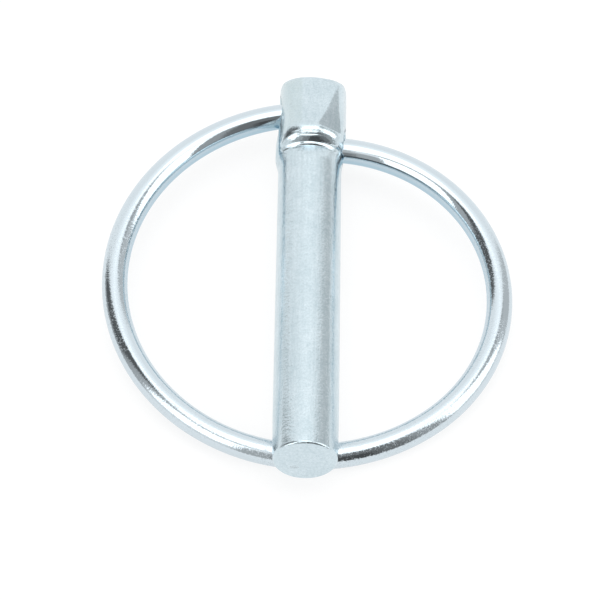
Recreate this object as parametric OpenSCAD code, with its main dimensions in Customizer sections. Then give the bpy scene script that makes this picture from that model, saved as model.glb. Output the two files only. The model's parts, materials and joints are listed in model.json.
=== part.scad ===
// Lynch pin: a round steel pin whose head carries a sprung wire ring. The ring's two ends sit in
// blind holes at different heights, so the ring snaps shut over the tip end of the pin.
// Millimetres. The part lies at rest on z = 0, with the tip towards -Y and the origin under the
// middle of its outline.

/* [Pin] */
// Diameter of the shank
pin_d = 8; // [4.5:0.1:13]
// Length of the pin from the head's end to the tip
pin_len = 56.6; // [40:0.1:80]
// Amount that the lead-in at the tip, which the closed ring crosses, narrows on each side
lead_in = 0.1; // [0.05:0.05:1]
// Radius of the rounded edge around the flat tip
tip_round = 0.4; // [0.1:0.05:1.5]

/* [Head] */
// Amount that the round head is wider than the shank, on each side
head_swell = 0.27; // [0.05:0.01:0.8]
// Sideways shift of the head, away from the hole nearest the end
head_shift = 0.3; // [0:0.05:1]
// Rounded edge of the head's end
head_round = 0.5; // [0.1:0.05:1.5]
// Distance from the middle of the farther hole to the shoulder
shoulder_past_hole = 0.4; // [0:0.1:3]
// Height that the shoulder stands over the shank, above and below
shoulder_rise = 1.25; // [0.4:0.05:1.8]
// Length of the slope from the shoulder down to the shank
shoulder_run = 1.7; // [0.8:0.1:3]
// Amount that the neck next to the shoulder is wider than the shank, on each side
neck_swell = 0.18; // [0.05:0.01:0.6]
// Distance from the middle of the farther hole to the end of the neck
neck_past_hole = 4.3; // [3:0.1:8]
// Depth to which the head's end is flattened below the shank's surface, above and below
flat_depth = 0.1; // [0.05:0.05:1]

/* [Ring holes] */
// Distance from the head's end to the centre of the nearer hole
near_at = 3.8; // [3:0.1:7]
// Distance from the head's end to the centre of the farther hole
far_at = 8.9; // [6:0.1:13]
// Clearance around the wire where it comes closest to the wall of its hole
hole_play = 0.04; // [0.02:0.01:0.3]
// Distance from the pin's middle to the floor of each hole
hole_floor = 0.8; // [0.5:0.05:2]
// Clearance between each cut end of the wire and the floor of its hole
end_play = 0.3; // [0.2:0.05:1]
// Width of the flare around the mouth of the nearer hole
near_flare = 1; // [0.1:0.1:1.5]
// Width of the flare around the mouth of the farther hole
far_flare = 0.5; // [0.1:0.1:1.5]
// Height of the bulge that the farther hole pushes out on the other side of the pin
bulge = 0.38; // [0:0.02:0.8]

/* [Ring] */
// Diameter of the ring's wire
wire_d = 3.2; // [2:0.05:5]
// Distance from the tip back to the middle of the closed ring's wire
tip_past_ring = 4.43; // [2.5:0.01:9]
// Angle round the ring at which the drawn-in side starts, from +X towards the tip
drawn_from = 53; // [20:1:85]
// Sideways place of the round side's centre
ring_x = 0.45; // [-2:0.05:2]
// Gap between the wire and the shank where the closed ring rests on it
rest_gap = 0.05; // [0.02:0.01:0.3]

/* [Hidden] */
$fn = 96;
pin_r = pin_d / 2;
head_r = pin_r + head_swell;
wire_r = wire_d / 2;
hinge_at = (near_at + far_at) / 2;
// the closed ring lies against the shank, turned this far about the hinge line
wire_at = pin_len - tip_past_ring;
wire_drop = pin_r + wire_r + rest_gap;
reach = sqrt(pow(wire_at - hinge_at, 2) + pow(wire_drop, 2));
close_angle = asin(wire_drop / reach);
// round side, with the wire centred in the nearer hole half-way along its length in there
end_x = hole_floor + end_play;
hole_mid_x = (pin_r + end_x) / 2;
round_side = hole_mid_x + ring_x;
round_far = hinge_at + reach - near_at;
ring_r = (pow(round_far, 2) + pow(round_side, 2)) / (2 * round_far);
ring_s = near_at + round_far - ring_r;
// the drawn-in side is as much tighter as brings it to the farther hole in the same way
side_gap = hole_mid_x - ring_x;
end_gap = ring_s - far_at;
tighter = (pow(ring_r, 2) - pow(end_gap, 2) - pow(side_gap, 2))
    / (2 * (ring_r + end_gap * sin(drawn_from) - side_gap * cos(drawn_from)));
drawn_r = ring_r - tighter;
drawn_x = ring_x + tighter * cos(drawn_from);
round_end = 270 - asin((end_x + ring_x) / ring_r);
drawn_end = 90 + asin((drawn_x - end_x) / drawn_r);
// the holes are wide enough for the closed ring's tilt and for its curve inside the pin
wire_tilt = (far_at - near_at) / 2 * sin(close_angle);
wire_curve = (pin_r - end_x) / 2 * round_side / (ring_s - near_at);
hole_d = wire_d + 2 * (sqrt(pow(wire_tilt, 2) + pow(wire_curve, 2)) + hole_play);
// at rest the shoulder and the ring's far wire both touch the ground, which tips the pin up
shoulder_at = far_at + shoulder_past_hole;
shoulder_r = pin_r + shoulder_rise;
shoulder_land = 0.2;
shoulder_s = shoulder_at - shoulder_land - hinge_at;
drop = shoulder_r - reach * sin(close_angle);
span = reach * cos(close_angle) - shoulder_s;
lean = atan2(span, drop) - acos(wire_r / sqrt(pow(drop, 2) + pow(span, 2)));
hinge_h = shoulder_r * cos(lean) - shoulder_s * sin(lean);
flat_half = pin_r - flat_depth;
// the bulge runs from just before the farther hole to the end of the neck
bulge_taper = 1.6;
bulge_before = 2.8;
neck_end = far_at + neck_past_hole;
lead_len = tip_past_ring + wire_r;
// middle of the outline on the ground, from the points that reach farthest each way
mid_x = (ring_x - ring_r + drawn_x + drawn_r) / 2;
tip_y = -(pin_len - tip_round - hinge_at) * cos(lean)
    - (pin_r - lead_in - tip_round) * sin(lean) - tip_round;
end_y = hinge_at * cos(lean) + flat_half * sin(lean);
mid_y = (tip_y + end_y) / 2;

// Stands a shape, built along +Z from the head's end, in its place on the ground
module lay() {
    translate([-mid_x, -mid_y, hinge_h])
        rotate([90 - lean, 0, 0])
            translate([0, 0, -hinge_at])
                children();
}

// Solid bar from z = 0 to len, with the edge at its far end rounded
module round_bar(len, r, edge) {
    rotate_extrude() {
        square([r - edge, len]);
        square([r, len - edge]);
        translate([r - edge, len - edge])
            intersection() {
                circle(r = edge);
                square(edge);
            }
    }
}

// Neck, parallel shank, lead-in and rounded tip
module shank() {
    lead_from = pin_len - lead_len;
    tip_r = pin_r - lead_in;
    translate([0, 0, shoulder_at])
        cylinder(h = neck_end - shoulder_at, r1 = pin_r + neck_swell, r2 = pin_r);
    translate([0, 0, neck_end])
        cylinder(h = lead_from - neck_end, r = pin_r);
    translate([0, 0, lead_from])
        cylinder(h = lead_len - tip_round, r1 = pin_r, r2 = tip_r);
    translate([0, 0, lead_from])
        round_bar(lead_len, tip_r, tip_round);
}

// Low swelling on one side of the bar, from z = low to high
module side_bulge(shift, low, high) {
    inner = pin_r - abs(shift);
    translate([shift, 0, low])
        cylinder(h = bulge_taper, r1 = inner, r2 = pin_r);
    translate([shift, 0, low + bulge_taper])
        cylinder(h = high - low - 2 * bulge_taper, r = pin_r);
    translate([shift, 0, high - bulge_taper])
        cylinder(h = bulge_taper, r1 = pin_r, r2 = inner);
}

// Metal raised over the head's upper side, flush with its left side and ending in the shoulder
module raised_side() {
    raised_r = head_r - head_shift / 2;
    centre = [head_shift / 2, shoulder_r - raised_r, 0];
    translate(centre + [0, 0, head_round])
        cylinder(h = shoulder_at - head_round, r = raised_r);
    translate(centre + [0, 0, shoulder_at])
        cylinder(h = shoulder_run, r1 = raised_r, r2 = pin_r - norm(centre));
}

// Wedge taken off the head's upper side, deepest at its end
module press_flat() {
    slope = atan((shoulder_r - flat_half) / shoulder_at);
    cut = 4 * pin_r;
    translate([-cut / 2, flat_half, 0])
        rotate([-slope, 0, 0])
            translate([0, 0, -cut / 4])
                cube([cut, cut, cut / 4 + (shoulder_at - shoulder_land) / cos(slope)]);
}

// Blind hole with a flared mouth, driven in from one side of the head
module ring_hole(side, at, flare) {
    translate([0, 0, at])
        rotate([0, side * 90, 0]) {
            translate([0, 0, hole_floor])
                cylinder(h = pin_r, d = hole_d);
            translate([0, 0, pin_r - flare])
                cylinder(h = 2 * flare + 1, d1 = hole_d, d2 = hole_d + 4 * flare + 2);
        }
}

// The pin: shank, pressed head, shoulder and the two blind holes
module pin() {
    color([0.80, 0.86, 0.89])
        lay()
            difference() {
                union() {
                    shank();
                    translate([head_shift, 0, shoulder_at])
                        mirror([0, 0, 1])
                            round_bar(shoulder_at, head_r, head_round);
                    translate([head_shift, 0, shoulder_at])
                        cylinder(h = shoulder_run, r1 = head_r, r2 = pin_r - head_shift);
                    raised_side();
                    mirror([0, 1, 0])
                        raised_side();
                    side_bulge(-bulge, far_at - bulge_before, neck_end);
                }
                press_flat();
                mirror([0, 1, 0])
                    press_flat();
                ring_hole(-1, near_at, near_flare);
                ring_hole(1, far_at, far_flare);
            }
}

// One bent length of the ring's wire, round an arc of the given radius
module wire_arc(radius, sweep) {
    rotate_extrude(angle = sweep)
        translate([radius, 0])
            circle(d = wire_d);
}

// The ring: one wire, closed against the shank, its ends inside the two holes. Both arcs start on
// the cross-section where the drawn-in side begins.
module ring() {
    color([0.86, 0.91, 0.94])
        lay()
            translate([0, 0, hinge_at])
                rotate([close_angle, 0, 0])
                    translate([ring_x, 0, ring_s - hinge_at])
                        rotate([90, 0, 0])
                            rotate([0, 0, drawn_from]) {
                                wire_arc(ring_r, round_end - drawn_from);
                                translate([tighter, 0, 0])
                                    mirror([0, 1, 0])
                                        wire_arc(drawn_r, drawn_end + drawn_from);
                            }
}

pin();
ring();
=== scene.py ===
"""Lynch pin: the looks of the steel pin and its sprung wire ring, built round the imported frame.

Lengths are in metres in the row frame. Round the pin, a place is given as (across, up, along): along is
the distance from the head's end towards the tip, up is square to the pin, and across is row X.
"""

import json
import math

import bpy
import numpy as np
from mathutils import Matrix, Vector


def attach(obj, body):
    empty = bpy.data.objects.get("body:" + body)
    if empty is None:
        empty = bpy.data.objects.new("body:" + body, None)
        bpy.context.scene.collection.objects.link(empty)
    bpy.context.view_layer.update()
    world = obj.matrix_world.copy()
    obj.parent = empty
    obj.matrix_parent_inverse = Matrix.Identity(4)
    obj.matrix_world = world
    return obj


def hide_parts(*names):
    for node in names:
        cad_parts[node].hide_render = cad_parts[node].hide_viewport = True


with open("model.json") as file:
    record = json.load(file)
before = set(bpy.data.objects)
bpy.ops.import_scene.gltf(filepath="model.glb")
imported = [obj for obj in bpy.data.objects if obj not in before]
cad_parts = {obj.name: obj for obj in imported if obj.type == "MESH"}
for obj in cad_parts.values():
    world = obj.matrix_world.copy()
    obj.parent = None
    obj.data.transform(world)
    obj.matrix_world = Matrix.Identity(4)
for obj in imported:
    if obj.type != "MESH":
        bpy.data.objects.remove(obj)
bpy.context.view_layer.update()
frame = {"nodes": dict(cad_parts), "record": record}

MM = 0.001
DEG = math.pi / 180

# ---------------------------------------------------------------- places from the frame

record = frame["record"]
shank_mount = record["mounts"][0]
swing = record["behaviour"]["joints"][0]
pin_axis = np.array(shank_mount["axis"], float)
pin_axis /= np.linalg.norm(pin_axis)
across = np.array([1.0, 0.0, 0.0])
upward = np.cross(pin_axis, across)
mount_at = np.array(shank_mount["pos_m"], float)
SHANK_R = shank_mount["dims"]["r_mm"] * MM

cad_pin = np.array([v.co for v in frame["nodes"]["pin"].data.vertices], float)
along_all = (cad_pin - mount_at) @ pin_axis
head_end = mount_at + pin_axis * along_all.min()
PIN_LEN = along_all.max() - along_all.min()
swing_at = np.array(swing["pos_m"], float)
HINGE_AT = (swing_at - head_end) @ pin_axis

# ---------------------------------------------------------------- sizes of the visible form

# The two ring holes lie this far apart along the pin, half of it on each side of the swing axis.
HOLE_STEP = 5.1 * MM
NEAR_AT = HINGE_AT - HOLE_STEP / 2
FAR_AT = HINGE_AT + HOLE_STEP / 2
HOLE_R = 2.02 * MM
HOLE_FLOOR = 0.8 * MM
WIRE_R = 1.6 * MM
REST_GAP = 0.05 * MM
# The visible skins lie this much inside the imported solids.
HAIR = 0.01 * MM
END_X = HOLE_FLOOR + 0.3 * MM
TIP_PAST_RING = 4.43 * MM
ROUND_X = 0.45 * MM
DRAWN_FROM = 53 * DEG
NECK_END = FAR_AT + 4.3 * MM


def place(x, up, along):
    """The row-frame points at (across, up, along) of the pin."""
    x, up, along = np.broadcast_arrays(x, up, along)
    return (head_end + x[..., None] * across + up[..., None] * upward
            + along[..., None] * pin_axis)


# ---------------------------------------------------------------- curves and meshes


def smooth_step(x, low, high):
    """0 below low, 1 above high, and 3t^2 - 2t^3 between."""
    t = np.clip((x - low) / (high - low), 0, 1)
    return t * t * (3 - 2 * t)


def smooth_min(a, b, width):
    """The smaller of a and b, with the corner between them rounded over width."""
    return 0.5 * (a + b - np.sqrt((a - b) ** 2 + width ** 2))


def closed_skin(name, rows, first_pole, last_pole, places):
    """A mesh from a grid of points: each row is a closed loop, joined to the next row by quads, and the
    first and last rows close on a pole with triangles. The attribute "run" keeps each point's place
    along and round the piece, for its material."""
    count, around = rows.shape[:2]
    points = np.vstack([rows.reshape(-1, 3), first_pole, last_pole])
    i = np.arange(count - 1)[:, None] * around
    j = np.arange(around)[None, :]
    k = (j + 1) % around
    quads = np.stack([i + j, i + around + j, i + around + k, i + k], -1).reshape(-1, 4)
    start, end = count * around, count * around + 1
    last = (count - 1) * around
    j, k = j[0], k[0]
    fans = np.vstack([np.stack([np.full(around, start), j, k], -1),
                      np.stack([np.full(around, end), last + k, last + j], -1)])
    mesh = bpy.data.meshes.new(name)
    mesh.vertices.add(len(points))
    mesh.vertices.foreach_set("co", points.astype(np.float32).ravel())
    corners = np.concatenate([quads.ravel(), fans.ravel()])
    starts = np.concatenate([np.arange(len(quads)) * 4,
                             len(quads) * 4 + np.arange(len(fans)) * 3])
    mesh.loops.add(len(corners))
    mesh.loops.foreach_set("vertex_index", corners.astype(np.int32))
    mesh.polygons.add(len(starts))
    mesh.polygons.foreach_set("loop_start", starts.astype(np.int32))
    mesh.polygons.foreach_set("use_smooth", np.ones(len(starts), bool))
    mesh.update(calc_edges=True)
    mesh.validate()
    layer = mesh.attributes.new("run", "FLOAT_VECTOR", "POINT")
    values = np.vstack([places.reshape(-1, 3), places[:1, 0], places[-1:, 0]])
    layer.data.foreach_set("vector", values.astype(np.float32).ravel())
    piece = bpy.data.objects.new(name, mesh)
    bpy.context.scene.collection.objects.link(piece)
    return piece


# ---------------------------------------------------------------- the pin

HEAD_SHIFT = 0.3 * MM
HEAD_HALF = 4.27 * MM
CROWN_HALF = 5.32 * MM
# The head's top bends down from here on, by BEND times the square of the distance.
CROWN_TO = 8.8 * MM
BEND_RUN = 1.6 * MM
BEND = 0.23 / MM
# The facet's plane: its turn from upward, its distance at the head's end, and where it ends.
FACET_TURN = 35 * DEG
FACET_OUT = 5.15 * MM
FACET_TAPER = 0.04
FACET_ENDS = (9.0 * MM, 9.8 * MM)
FLAT_HALF = 3.82 * MM
FLAT_SLOPE = math.tan(9.0 * DEG)
# The shoulder's turned face ends here, at its foot.
STEP_TO = 11.0 * MM
FACE_SLOPE = 1.05
FOOT_RISE = 0.18 * MM
FOOT_RUN = 0.15 * MM
TURNING_PITCH = 0.16 * MM
RAMP_RUN = 0.3 * MM
TOOL_MARK = 0.18 * MM
NECK_PINCH = 0.25 * MM
END_SLANT = 0.2 * MM
# Each hole's mouth: half its length along the pin and half its height.
NEAR_MOUTH = (3.2 * MM, 2.3 * MM)
NEAR_MOUTH_SHIFT = 0.3 * MM
FAR_MOUTH = (2.5 * MM, 2.4 * MM)
FUNNEL_DEEP = 0.9 * MM
FUNNEL_SHARE = 0.3
FLOOR_SHARE = 0.25


def side_reach(along, side):
    """How far the head and then the neck stand out to the right (side 1) or the left (side -1). The head
    is shifted to the right. The pinched neck swells sideways, more on the left, and eases to the shank."""
    to_shank = 1 - smooth_step(along, STEP_TO - 0.4 * MM, NECK_END)
    if side > 0:
        return HEAD_HALF + HEAD_SHIFT, SHANK_R + 0.22 * MM * to_shank
    swell = 0.25 * smooth_step(along, 5.8 * MM, 6.8 * MM)
    swell = swell + 0.75 * smooth_step(along, 6.2 * MM, 10 * MM)
    neck = SHANK_R + 0.41 * MM * to_shank
    return HEAD_HALF - HEAD_SHIFT + (neck - HEAD_HALF + HEAD_SHIFT) * swell, neck


def step_rise(before, turn):
    """Height of the shoulder's face over the neck at a distance before its foot: just over 1 in 1 on
    top, steeper by the foot and gentler at the sides, with faint turning marks. Past the foot a short
    hollow ramp carries it down, gentler on the right."""
    sideways = np.sin(turn) ** 2
    share = 1 - np.where(np.sin(turn) > 0, 0.95 * sideways ** 3, sideways ** 2)
    on = np.maximum(before, 0)
    face = share * (FACE_SLOPE * on + FOOT_RISE * (1 - np.exp(-on / FOOT_RUN)))
    marks = 0.003 * MM * np.sin(on * 2 * math.pi / TURNING_PITCH)
    ramp = (0.5 - 0.2 * np.sin(turn)) * np.clip(before + RAMP_RUN, 0, RAMP_RUN)
    return face + marks + ramp * smooth_step(np.abs(np.cos(turn)), 0, 0.6)


def oval(turn, wide, high, power):
    """Distance from the middle to a superellipse: (|sin|/wide)^p + (|cos|/high)^p, to the power -1/p."""
    return ((np.abs(np.sin(turn)) / wide) ** power
            + (np.abs(np.cos(turn)) / high) ** power) ** (-1 / power)


def pin_section(turn, along):
    """The pin's skin at an angle from upward towards +X, about a middle that is shifted to the right in
    the head. The distance from the middle is the least of four: the head's oval, which bends down
    before the shoulder, a plane facet on its upper right and lower left, the wedge-shaped flats, which
    are the top of an oval that widens from the end, and the neck's and shank's oval raised by step_rise.
    A shallow tool mark rings the neck just past the shoulder's foot."""
    middle = HEAD_SHIFT - 0.39 * MM * smooth_step(along, 6 * MM, 10.5 * MM)
    middle = middle * (1 - smooth_step(along, STEP_TO, NECK_END))
    right, left = side_reach(along, 1), side_reach(along, -1)
    rightward = np.sin(turn) > 0
    head_wide = np.where(rightward, right[0] - middle, left[0] + middle)
    neck_wide = np.where(rightward, right[1] - middle, left[1] + middle)
    to_shank = 1 - smooth_step(along, STEP_TO + 0.3 * MM, NECK_END)
    bend = BEND * np.clip(along - CROWN_TO, 0, BEND_RUN) ** 2 * np.cos(turn) ** 4
    head = oval(turn, head_wide, CROWN_HALF, 2.3) - bend
    facet = FACET_OUT - FACET_TAPER * np.minimum(along, STEP_TO)
    facet = facet + 0.8 * MM * smooth_step(along, *FACET_ENDS)
    facet = facet / np.maximum(np.abs(np.cos(turn - FACET_TURN)), 0.05)
    head = smooth_min(head, facet, 0.08 * MM)
    mark = TOOL_MARK * (1 - smooth_step(along, STEP_TO + 0.26 * MM, STEP_TO + 0.4 * MM))
    neck = oval(turn, neck_wide, SHANK_R - NECK_PINCH * to_shank, 2.0)
    foot = STEP_TO - 0.1 * MM * np.sin(turn) ** 2
    head = head + MM * smooth_step(along, foot - 0.1 * MM, foot + 0.2 * MM)
    neck = neck + step_rise(foot - along, turn) + mark * np.cos(turn) ** 4
    out = smooth_min(head, neck, (0.08 + 0.12 * smooth_step(np.sin(turn), 0.1, 0.5)) * MM)
    spread = HEAD_HALF * (1.03 + 3 * smooth_step(along, 0, 5 * MM))
    flat = oval(turn, spread, FLAT_HALF + np.maximum(along, 0) * FLAT_SLOPE, 2.6)
    out = np.where(along < STEP_TO, smooth_min(out, flat, 0.15 * MM), out)
    return middle + out * np.sin(turn), out * np.cos(turn)


def punch(x, up, along, side, at, mouth_at, mouth):
    """Presses a blind ring hole into one side of the skin. Inside the mouth's ellipse the skin's own
    grid is drawn towards the hole's wall: the outer third makes the funnel, the middle the wall, and
    the inner part the floor, so the wall stays round and on the hole's own line whatever the grid."""
    mouth_along, mouth_up = mouth
    mine = x * side > 0
    a, b = (along - mouth_at) / mouth_along, up / mouth_up
    far = np.hypot(a, b)
    inside = mine & (far < 1) & (far > 1e-9)
    q = 1 - np.where(inside, far, 1.0)
    funnel = np.clip(q / FUNNEL_SHARE, 0, 1)
    wall = np.clip((q - FUNNEL_SHARE) / (1 - FUNNEL_SHARE - FLOOR_SHARE), 0, 1)
    floor = np.clip((q - 1 + FLOOR_SHARE) / FLOOR_SHARE, 0, 1)
    unit_a, unit_b = a / np.maximum(far, 1e-9), b / np.maximum(far, 1e-9)

    def spread(half):
        return (half + (HOLE_R - half) * funnel) * (1 - floor)

    new_along = mouth_at + (at - mouth_at) * funnel + unit_a * spread(mouth_along)
    new_up = unit_b * spread(mouth_up)
    throat = np.abs(x) - FUNNEL_DEEP * (1 - (1 - funnel) ** 4)
    sunk = (throat + (HOLE_FLOOR - throat) * wall) * side
    return (np.where(inside, sunk, x), np.where(inside, new_up, up), np.where(inside, new_along, along))


def make_pin():
    """The pin in one closed skin: rows across the head's end, round its edge, along the head, neck and
    shank, round the tip's edge and across the tip, each row a loop of the pin's section."""
    around = 360
    turn = np.arange(around) * 2 * math.pi / around
    end_round, tip_deep, tip_long = 0.5 * MM, 0.3 * MM, 0.36 * MM
    lead_from = PIN_LEN - TIP_PAST_RING - WIRE_R
    quarter = np.linspace(0, math.pi / 2, 13)
    side = np.concatenate([
        np.linspace(end_round, 9.2 * MM, 80)[1:], np.linspace(9.2 * MM, 11.7 * MM, 91)[1:],
        np.linspace(11.7 * MM, NECK_END + 1 * MM, 18)[1:],
        np.linspace(NECK_END + 1 * MM, lead_from, 20)[1:],
        np.linspace(lead_from, PIN_LEN - tip_long, 6)[1:]])
    in_share = np.linspace(0, 1, 12)[1:-1]
    edge = end_round * (1 - np.cos(quarter))
    start = np.concatenate([np.zeros(10), edge])
    start_in = np.concatenate([np.full(10, end_round), end_round * (1 - np.sin(quarter))])
    start_share = np.concatenate([in_share, np.ones(13)])
    tip_edge = np.linspace(0, math.pi / 2, 17)[1:]
    end = np.concatenate([PIN_LEN - tip_long * (1 - np.sin(tip_edge)), np.full(10, PIN_LEN)])
    end_in = np.concatenate([tip_deep * (1 - np.cos(tip_edge)), np.full(10, tip_deep)])
    end_share = np.concatenate([np.ones(16), in_share[::-1]])
    along = np.concatenate([start, side, end - HAIR])
    inset = np.concatenate([start_in, np.zeros(len(side)), end_in])
    share = np.concatenate([start_share, np.ones(len(side)), end_share])
    inset = inset + HAIR + 0.1 * MM * np.clip((along - lead_from) / (PIN_LEN - lead_from), 0, 1)

    turn, along = np.meshgrid(turn, along)
    x, up = pin_section(turn, along)
    low_side = smooth_step(x - HEAD_SHIFT, -0.5 * MM, 2.2 * MM) * (1 - smooth_step(along, 0, 3 * MM))
    along = along + END_SLANT * low_side
    centre = HEAD_SHIFT * (1 - smooth_step(along, 5 * MM, 9 * MM))
    out = np.hypot(x - centre, up)
    scale = share[:, None] * (out - inset[:, None]) / out
    x, up = centre + (x - centre) * scale, up * scale
    x, up, along = punch(x, up, along, -1, NEAR_AT, NEAR_AT + NEAR_MOUTH_SHIFT, NEAR_MOUTH)
    x, up, along = punch(x, up, along, 1, FAR_AT, FAR_AT, FAR_MOUTH)
    rows = place(x, up, along)
    places = np.stack([along, x, up], -1)
    return closed_skin("pin_body", rows, place(HEAD_SHIFT, 0.0, 0.0), place(0.0, 0.0, PIN_LEN), places)


# ---------------------------------------------------------------- the ring


def ring_form():
    """Where the ring lies and how its two arcs run. Its plane holds the swing axis and the wire's middle
    where it lies against the shank. A round arc centres the wire half-way down the near hole, and a
    tighter arc, tangent to it where the drawn-in side begins, does the same at the far hole."""
    rest = head_end + pin_axis * (PIN_LEN - TIP_PAST_RING) - upward * (SHANK_R + WIRE_R + REST_GAP)
    swing_line = head_end + pin_axis * HINGE_AT
    reach = np.linalg.norm(rest - swing_line)
    towards = (rest - swing_line) / reach
    hole_mid = (SHANK_R + END_X) / 2
    off = hole_mid + ROUND_X
    far = HINGE_AT + reach - NEAR_AT
    round_r = (far ** 2 + off ** 2) / (2 * far)
    round_t = NEAR_AT + far - round_r
    side_gap, end_gap = hole_mid - ROUND_X, round_t - FAR_AT
    tighter = (round_r ** 2 - end_gap ** 2 - side_gap ** 2) / (
        2 * (round_r + end_gap * math.sin(DRAWN_FROM) - side_gap * math.cos(DRAWN_FROM)))
    drawn_r = round_r - tighter
    drawn_x = ROUND_X + tighter * math.cos(DRAWN_FROM)
    drawn_t = round_t + tighter * math.sin(DRAWN_FROM)
    round_from = 1.5 * math.pi - math.asin((END_X + ROUND_X) / round_r)
    drawn_to = -math.pi / 2 - math.asin((drawn_x - END_X) / drawn_r)
    return {
        "origin": swing_line - towards * HINGE_AT, "towards": towards,
        "normal": np.cross(towards, across), "arcs": (
            (ROUND_X, round_t, round_r, round_from, DRAWN_FROM),
            (drawn_x, drawn_t, drawn_r, DRAWN_FROM, drawn_to))}


def make_ring():
    """The wire as a tube: for each point of the two arcs, a circle of the wire's radius in the plane of
    the arc's radius and the ring's normal. Both cut ends are flat discs with a rounded edge."""
    form = ring_form()
    around, step = 72, 0.17 * MM
    edge = 0.25 * MM
    angles, centres, radii = [], [], []
    for x, t, r, begin, finish in form["arcs"]:
        count = round(abs(begin - finish) * r / step)
        angle = np.linspace(begin, finish, count + 1)
        angle = angle[1:] if angles else angle
        angles.append(angle)
        centres.append(np.tile([x, t], (len(angle), 1)))
        radii.append(np.full(len(angle), r))
    angle, centre, radius = np.concatenate(angles), np.vstack(centres), np.concatenate(radii)
    out = np.stack([np.cos(angle), np.sin(angle)], -1)
    middle = centre + out * radius[:, None]
    run = np.concatenate([[0], np.cumsum(np.linalg.norm(np.diff(middle, axis=0), axis=1))])
    from_end = np.minimum(run, run[-1] - run)
    into_edge = np.maximum(edge - from_end, 0)
    wire = WIRE_R - HAIR - edge + np.sqrt(np.maximum(edge ** 2 - into_edge ** 2, 0))
    turn = np.arange(around) * 2 * math.pi / around
    flat = middle[:, None, :] + out[:, None, :] * (wire[:, None] * np.cos(turn))[..., None]
    lift = wire[:, None] * np.sin(turn)
    rows = (form["origin"] + flat[..., :1] * across + flat[..., 1:] * form["towards"]
            + lift[..., None] * form["normal"])
    poles = form["origin"] + middle[[0, -1], :1] * across + middle[[0, -1], 1:] * form["towards"]
    places = np.stack(np.broadcast_arrays(run[:, None], WIRE_R * np.cos(turn), WIRE_R * np.sin(turn)), -1)
    return closed_skin("ring_wire", rows, poles[0], poles[1], places)


# ---------------------------------------------------------------- shader maths


class Socket:
    """A shader socket that Python's operators work on: each adds the Math node that it stands for."""

    def __init__(self, graph, socket):
        self.graph = graph
        self.socket = socket

    def maths(self, operation, *values, clamp=False):
        settings = {"operation": operation, "use_clamp": clamp}
        return self.graph.node("ShaderNodeMath", settings, dict(enumerate(values)))

    def __add__(self, other):
        return self.maths("ADD", self, other)

    def __sub__(self, other):
        return self.maths("SUBTRACT", self, other)

    def __rsub__(self, other):
        return self.maths("SUBTRACT", other, self)

    def __mul__(self, other):
        return self.maths("MULTIPLY", self, other)

    def __truediv__(self, other):
        return self.maths("DIVIDE", self, other)

    def __pow__(self, other):
        return self.maths("POWER", self, other)

    __radd__ = __add__
    __rmul__ = __mul__


class Graph:
    """A node tree that is filled by calls."""

    def __init__(self, tree):
        self.tree = tree
        tree.nodes.clear()

    def node(self, kind, settings=None, inputs=None, output=0):
        """Adds a node: its settings first, then the values or links of its inputs, by name or number.
        Gives back the output that is named or numbered."""
        made = self.tree.nodes.new(kind)
        for key, value in (settings or {}).items():
            if key == "stops":
                ramp = made.color_ramp
                while len(ramp.elements) < len(value):
                    ramp.elements.new(1.0)
                for element, (position, colour) in zip(ramp.elements, value):
                    element.position, element.color = position, (*colour, 1.0)
            else:
                setattr(made, key, value)
        for key, value in (inputs or {}).items():
            if isinstance(value, Socket):
                self.tree.links.new(value.socket, made.inputs[key])
            else:
                made.inputs[key].default_value = value
        return Socket(self, made.outputs[output]) if len(made.outputs) else None

    def split(self, vector):
        """The three parts of a vector."""
        parts = self.tree.nodes.new("ShaderNodeSeparateXYZ")
        self.tree.links.new(vector.socket, parts.inputs[0])
        return [Socket(self, part) for part in parts.outputs]

    def band(self, value, low, high, soft):
        """1 where value lies between low and high and 0 outside, with soft edges of that width."""
        rise = {"From Min": low - soft / 2, "From Max": low + soft / 2}
        fall = {"From Min": high - soft / 2, "From Max": high + soft / 2}
        smooth = {"interpolation_type": "SMOOTHSTEP"}
        inside = self.node("ShaderNodeMapRange", smooth, {"Value": value, **rise})
        return inside * (1 - self.node("ShaderNodeMapRange", smooth, {"Value": value, **fall}))

    def blend(self, factor, first, second):
        """Colour first where factor is 0 and second where it is 1."""
        settings = {"data_type": "RGBA"}
        return self.node("ShaderNodeMix", settings, {"Factor": factor, 6: first, 7: second}, output=2)


def grey(level):
    return (level, level, level, 1.0)


# ---------------------------------------------------------------- materials


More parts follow.
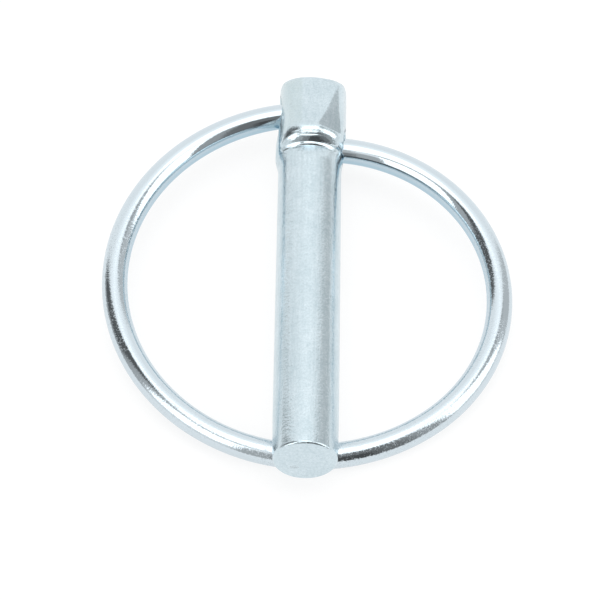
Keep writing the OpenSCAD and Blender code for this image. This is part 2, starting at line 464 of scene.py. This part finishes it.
def pin_zinc():
    """Blue-white zinc over cold-formed bar: satin and grainy, faintly mottled, with fine drawn lines
    lengthwise, and duller where the head's left is worn. The turned face of the shoulder is smoother, and
    a small crescent dent marks the tip."""
    material = bpy.data.materials.new("pin_zinc")
    material.use_nodes = True
    g = Graph(material.node_tree)
    place_here = g.node("ShaderNodeTexCoord", output="Object")
    run = g.node("ShaderNodeAttribute", {"attribute_name": "run"}, output="Vector")
    lengthwise = g.node("ShaderNodeVectorMath", {"operation": "MULTIPLY"}, {0: run, 1: (0.06, 1.0, 1.0)})
    grain = g.node("ShaderNodeTexNoise", None,
                   {"Vector": place_here, "Scale": 3600.0, "Detail": 2.0, "Roughness": 0.6})
    mottle = g.node("ShaderNodeTexNoise", None,
                    {"Vector": place_here, "Scale": 1100.0, "Detail": 2.0, "Roughness": 0.5})
    drawn = g.node("ShaderNodeTexNoise", None,
                   {"Vector": lengthwise, "Scale": 2600.0, "Detail": 3.0, "Roughness": 0.6})
    cloud = g.node("ShaderNodeTexNoise", None,
                   {"Vector": place_here, "Scale": 260.0, "Detail": 3.0, "Roughness": 0.55})
    along, across_here, up_here = g.split(run)
    turned = g.band(along, STEP_TO - 1.1 * MM, STEP_TO + 0.5 * MM, 0.3 * MM)
    tint = cloud + 1.4 * (grain - 0.5) + 0.9 * (drawn - 0.5) + 0.6 * (mottle - 0.5)
    colour = g.blend(tint, (0.53, 0.64, 0.69, 1.0), (0.69, 0.79, 0.84, 1.0))
    worn = g.band(across_here, -9 * MM, -1.1 * MM, 0.5 * MM) * g.band(along, -MM, 9 * MM, MM)
    colour = g.blend(worn * mottle * 0.7, colour, (0.52, 0.62, 0.62, 1.0))
    dent_x, dent_up = (across_here + 1.3 * MM) / (0.7 * MM), (up_here + 1.3 * MM) / (0.22 * MM)
    dent = g.band(dent_x ** 2 + (dent_up + dent_x ** 2) ** 2, -1, 0.6, 0.8)
    dent = dent * g.band(along, PIN_LEN - MM, 1, MM)
    height = (grain * 0.85 + mottle * 0.6 + drawn * 0.8) * (1 - 0.5 * turned) - 2 * dent
    bump = g.node("ShaderNodeBump", None,
                  {"Strength": 1.0, "Distance": 0.03 * MM, "Height": height})
    rough = 0.2 + 0.12 * (grain - 0.5) - 0.11 * turned
    surface = g.node("ShaderNodeBsdfPrincipled", None, {
        "Base Color": colour, "Metallic": 1.0, "Roughness": rough, "Normal": bump})
    g.node("ShaderNodeOutputMaterial", None, {"Surface": surface})
    return material


def ring_zinc():
    """Blue-white zinc over smooth spring wire: glossy, with a slight orange peel, and a painted blue sheen
    on the inner underside, standing for the blue that the zinc shows at grazing angles. Fine pits dull it
    in specks, except towards its ends."""
    material = bpy.data.materials.new("ring_zinc")
    material.use_nodes = True
    g = Graph(material.node_tree)
    place_here = g.node("ShaderNodeTexCoord", output="Object")
    run = g.node("ShaderNodeAttribute", {"attribute_name": "run"}, output="Vector")
    along, outward, lift = g.split(run)
    speckle = g.node("ShaderNodeTexNoise", None,
                     {"Vector": place_here, "Scale": 4600.0, "Detail": 2.0, "Roughness": 0.6})
    peel = g.node("ShaderNodeTexNoise", None,
                  {"Vector": place_here, "Scale": 1500.0, "Detail": 2.0, "Roughness": 0.5})
    cloud = g.node("ShaderNodeTexNoise", None,
                   {"Vector": place_here, "Scale": 160.0, "Detail": 2.0, "Roughness": 0.5})
    colour = g.blend(cloud, (0.60, 0.68, 0.73, 1.0), (0.66, 0.74, 0.79, 1.0))
    # Painted sheen: the wire's inner underside is coloured bluer to stand for the blue of zinc seen at
    # grazing angles, not a colour the zinc has there.
    painted_sheen_side = g.band(outward, -1, -0.3 * WIRE_R, WIRE_R) * g.band(lift, -1, 0.3 * WIRE_R, WIRE_R)
    colour = g.blend(painted_sheen_side, colour, (0.40, 0.56, 0.66, 1.0))
    pitted = g.band(along, 24 * MM, 122 * MM, 14 * MM)
    pits = g.band(speckle, 0.56, 2.0, 0.1) * g.band(cloud, 0.42, 2.0, 0.2) * pitted
    height = speckle * (0.2 + 0.35 * pitted) + peel * 0.25
    bump = g.node("ShaderNodeBump", None,
                  {"Strength": 1.0, "Distance": 0.02 * MM, "Height": height})
    surface = g.node("ShaderNodeBsdfPrincipled", None, {
        "Base Color": colour, "Metallic": 1.0, "Roughness": 0.06 + 0.3 * pits, "Normal": bump})
    g.node("ShaderNodeOutputMaterial", None, {"Surface": surface})
    return material


# ---------------------------------------------------------------- floor, light and camera


def seen_directly(g):
    """1 on rays from the camera and on mirrored and refracted rays, and 0 on the rest."""
    path = g.tree.nodes.new("ShaderNodeLightPath")
    rays = [Socket(g, path.outputs[name]) for name in
            ("Is Camera Ray", "Is Glossy Ray", "Is Transmission Ray")]
    return rays[0].maths("ADD", rays[0] + rays[1], rays[2], clamp=True)


def make_floor():
    """A plain pale floor just under the part. It looks white and keeps the part's soft shadow."""
    half = 3.0
    low = -0.00002
    mesh = bpy.data.meshes.new("floor")
    mesh.from_pydata([(-half, -half, low), (half, -half, low), (half, half, low), (-half, half, low)],
                     [], [(0, 1, 2, 3)])
    floor = bpy.data.objects.new("floor", mesh)
    bpy.context.scene.collection.objects.link(floor)
    material = bpy.data.materials.new("pale_floor")
    material.use_nodes = True
    g = Graph(material.node_tree)
    matt = g.node("ShaderNodeBsdfDiffuse", None, {"Color": grey(0.25)})
    glow = g.node("ShaderNodeEmission", None, {"Color": grey(1.0), "Strength": seen_directly(g) * 0.8})
    g.node("ShaderNodeOutputMaterial", None,
           {"Surface": g.node("ShaderNodeAddShader", None, {0: matt, 1: glow})})
    mesh.materials.append(material)


# Each softbox or wall of the studio: azimuth from and to (0 is +Y, 90 is +X), elevation from and to,
# width of its soft edges, all in degrees, and how bright it is.
STUDIO = (
    (-57, 44, -30, 50, 6, 1.05),
    (-57, 44, 50, 90, 10, 1.22),
    (44, 79, -30, 50, 5, 0.64),
    (44, 79, 50, 68, 5, 0.50),
    (79, 119, 13, 65, 4, 1.9),
    (79, 119, -30, 13, 5, 0.88),
    (79, 119, 65, 75, 5, 0.7),
    (119, 136, -30, 68, 6, 0.42),
    (136, 152, -30, 68, 6, 0.21),
    (152, 181, 40, 68, 8, 0.22),
    (-181, -165, -30, 40, 6, 0.28),
    (-181, -165, 40, 68, 8, 0.62),
    (-165, -149, -30, 50, 6, 0.52),
    (-165, -149, 50, 75, 8, 1.05),
    (-149, -106, 17, 59, 4, 1.9),
    (-149, -106, -30, 17, 6, 0.90),
    (-149, -106, 59, 72, 5, 0.55),
    (-106, -90, -30, 68, 5, 0.50),
    (-90, -57, -30, 12, 6, 0.42),
    (-90, -57, 12, 68, 6, 0.13),
)
ROOM = 0.09
OVERHEAD = 1.9


def make_studio():
    """Plain soft light from all round: an overhead softbox, two side softboxes, a pale wall behind and
    grey walls between. Rays from the camera see plain white."""
    world = bpy.data.worlds.new("studio")
    bpy.context.scene.world = world
    world.use_nodes = True
    g = Graph(world.node_tree)
    towards = g.node("ShaderNodeTexCoord", output="Generated")
    x, y, z = g.split(towards)
    azimuth = x.maths("ARCTAN2", x, y) * (180 / math.pi)
    elevation = z.maths("ARCSINE", z) * (180 / math.pi)
    level = ROOM
    for begin, end, low, high, soft, bright in STUDIO:
        inside = g.band(azimuth, begin, end, soft) * g.band(elevation, low, high, soft)
        level = level + inside * (bright - ROOM)
    level = level + g.band(elevation, 68, 120, 11) * (OVERHEAD - level)
    path = g.tree.nodes.new("ShaderNodeLightPath")
    camera_ray = Socket(g, path.outputs["Is Camera Ray"])
    shown = level * (1 - camera_ray) + camera_ray
    light = g.node("ShaderNodeBackground", None, {"Color": grey(1.0), "Strength": shown})
    g.node("ShaderNodeOutputWorld", None, {"Surface": light})


def make_camera():
    """A long lens looking down over the tip, aimed near the middle of the part."""
    aim = Vector((-0.000826, -0.002975, 0.004))
    azimuth, elevation, roll = 0.488 * DEG, 56.121 * DEG, 0.423 * DEG
    distance = 0.4196
    back = Vector((math.sin(azimuth) * math.cos(elevation), -math.cos(azimuth) * math.cos(elevation),
                   math.sin(elevation)))
    right = Vector((math.cos(azimuth), math.sin(azimuth), 0))
    above = back.cross(right)
    tilted = right * math.cos(roll) + above * math.sin(roll)
    above = above * math.cos(roll) - right * math.sin(roll)
    data = bpy.data.cameras.new("camera")
    data.sensor_width = 36
    data.lens = 203.85
    data.clip_start = 0.01
    camera = bpy.data.objects.new("camera", data)
    axes = Matrix((tilted, above, back)).transposed().to_4x4()
    camera.matrix_world = Matrix.Translation(aim + back * distance) @ axes
    bpy.context.scene.collection.objects.link(camera)
    bpy.context.scene.camera = camera


# ---------------------------------------------------------------- the scene

make_camera()
make_studio()
make_floor()

pin_body = make_pin()
pin_body.data.materials.append(pin_zinc())
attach(pin_body, "pin")
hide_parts("pin")

ring_wire = make_ring()
ring_wire.data.materials.append(ring_zinc())
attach(ring_wire, "ring")
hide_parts("ring")

bpy.context.scene.view_settings.view_transform = "Standard"
